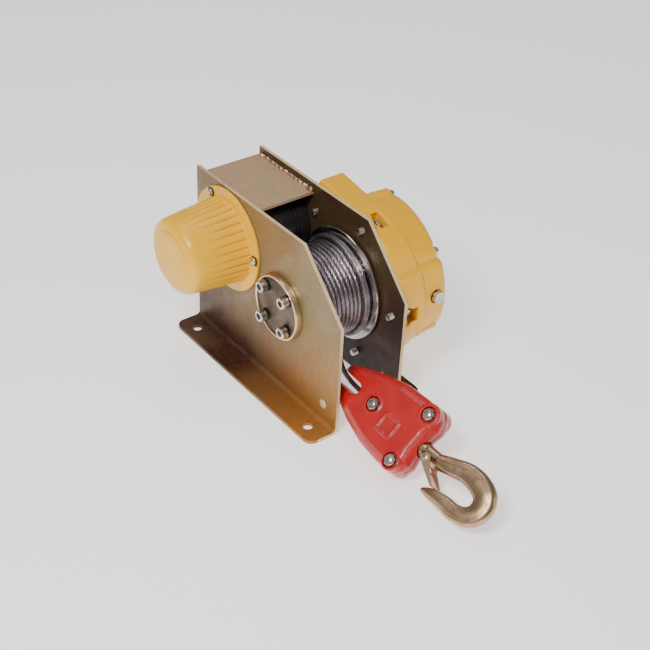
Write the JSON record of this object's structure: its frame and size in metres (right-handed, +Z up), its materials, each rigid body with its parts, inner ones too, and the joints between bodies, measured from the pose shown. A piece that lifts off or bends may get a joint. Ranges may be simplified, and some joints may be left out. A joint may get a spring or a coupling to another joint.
{
  "type": "wire rope puller",
  "caption": "Electric wire rope puller: a drum between bent side plates, motor under a ribbed cover, gearbox on the far plate, and a hook block on the rope.",
  "frame": {"origin": "on the ground under the middle of the winch, measured without its free rope and hook block", "axes": "+X runs along the drum from the motor cover to the gearbox, -Y is the side the rope leaves from, +Z is up"},
  "size_m": [0.2554, 0.5177, 0.23],
  "materials": {
    "zinc_plate": "yellow-passivated zinc plate, satin",
    "yellow_paint": "semi-gloss enamel",
    "red_paint": "semi-gloss enamel",
    "black_paint": "satin black",
    "machined_steel": "turned, lightly oiled",
    "bright_zinc": "bright zinc",
    "latch_sheet": "yellow zinc sheet",
    "wire_rope": "stranded wire, greased",
    "forged_hook": "yellow zinc on a forging, satin",
    "copper_winding": "varnished winding",
    "bronze_bush": "machined"
  },
  "bodies": {
    "frame": {"side_plate_near": "zinc_plate", "side_plate_far": "zinc_plate", "top_plate": "zinc_plate", "bearing_cover": "machined_steel", "bearing_housing": "machined_steel", "bearing_screw_1": "bright_zinc", "bearing_screw_2": "bright_zinc", "bearing_screw_3": "bright_zinc", "bearing_screw_4": "bright_zinc", "drum_bearing_near": "machined_steel", "drum_bearing_far": "machined_steel", "motor_frame": "black_paint", "motor_stator": "copper_winding", "motor_end_shield": "black_paint", "motor_cover": "yellow_paint", "cover_screw_1": "bright_zinc", "cover_screw_2": "bright_zinc", "cover_screw_3": "bright_zinc", "gear_case": "yellow_paint", "case_bolt_1": "bright_zinc", "case_bolt_2": "bright_zinc", "case_bolt_3": "bright_zinc", "case_bolt_4": "bright_zinc", "gear_case_cover": "yellow_paint", "cover_bolt_1": "bright_zinc", "cover_bolt_2": "bright_zinc", "cover_bolt_3": "bright_zinc", "cover_bolt_4": "bright_zinc", "cover_bolt_5": "bright_zinc", "cover_bolt_6": "bright_zinc", "oil_plug": "bright_zinc", "countershaft_bush_rear": "bronze_bush", "countershaft_bush_front": "bronze_bush", "free_rope": "wire_rope", "block_shell_upper": "red_paint", "block_shell_lower": "red_paint", "block_bolt_1": "bright_zinc", "block_bolt_2": "bright_zinc", "block_bolt_3": "bright_zinc", "block_nut_1": "bright_zinc", "block_nut_2": "bright_zinc", "block_nut_3": "bright_zinc", "rope_thimble": "bright_zinc"},
    "drum": {"rope_drum": "machined_steel", "rope_layers": "wire_rope", "rope_top_layer": "wire_rope", "drum_shaft": "machined_steel", "output_gear": "machined_steel"},
    "countershaft": {"countershaft": "machined_steel", "reduction_gear": "machined_steel", "reduction_pinion": "machined_steel"},
    "rotor": {"rotor_shaft": "machined_steel", "rotor_core": "machined_steel", "cooling_fan": "black_paint", "motor_pinion": "machined_steel"},
    "hook": {"hook": "forged_hook", "hook_collar": "bright_zinc", "latch_pin": "bright_zinc", "latch_spring": "machined_steel"},
    "latch": {"hook_latch": "latch_sheet"}
  },
  "joints": [
    {"name": "drum_spin", "type": "hinge", "parent": "frame", "child": "drum", "pos_m": [0.00425, -0.0341, 0.1197], "axis": [1, 0, 0], "continuous": true},
    {"name": "countershaft_spin", "type": "hinge", "parent": "frame", "child": "countershaft", "pos_m": [0.00425, 0.04589, 0.13776], "axis": [1, 0, 0], "continuous": true},
    {"name": "rotor_spin", "type": "hinge", "parent": "frame", "child": "rotor", "pos_m": [0.00425, 0.076, 0.1556], "axis": [1, 0, 0], "continuous": true},
    {"name": "hook_swivel", "type": "hinge", "parent": "frame", "child": "hook", "pos_m": [-0.00975, -0.2447, 0.0432], "axis": [0, -0.9976, -0.0698], "continuous": true},
    {"name": "hook_latch", "type": "hinge", "parent": "hook", "child": "latch", "pos_m": [-0.01295, -0.27343, 0.03831], "axis": [-0.6691, -0.0518, 0.7413], "range_deg": [0, 30], "stiffness_Nm_per_rad": 0.02, "springref_deg": -17.19}
  ],
  "couplings": [
    {"joint": "countershaft_spin", "follows": "drum_spin", "ratio": -5.3077},
    {"joint": "rotor_spin", "follows": "drum_spin", "ratio": 19.462}
  ]
}
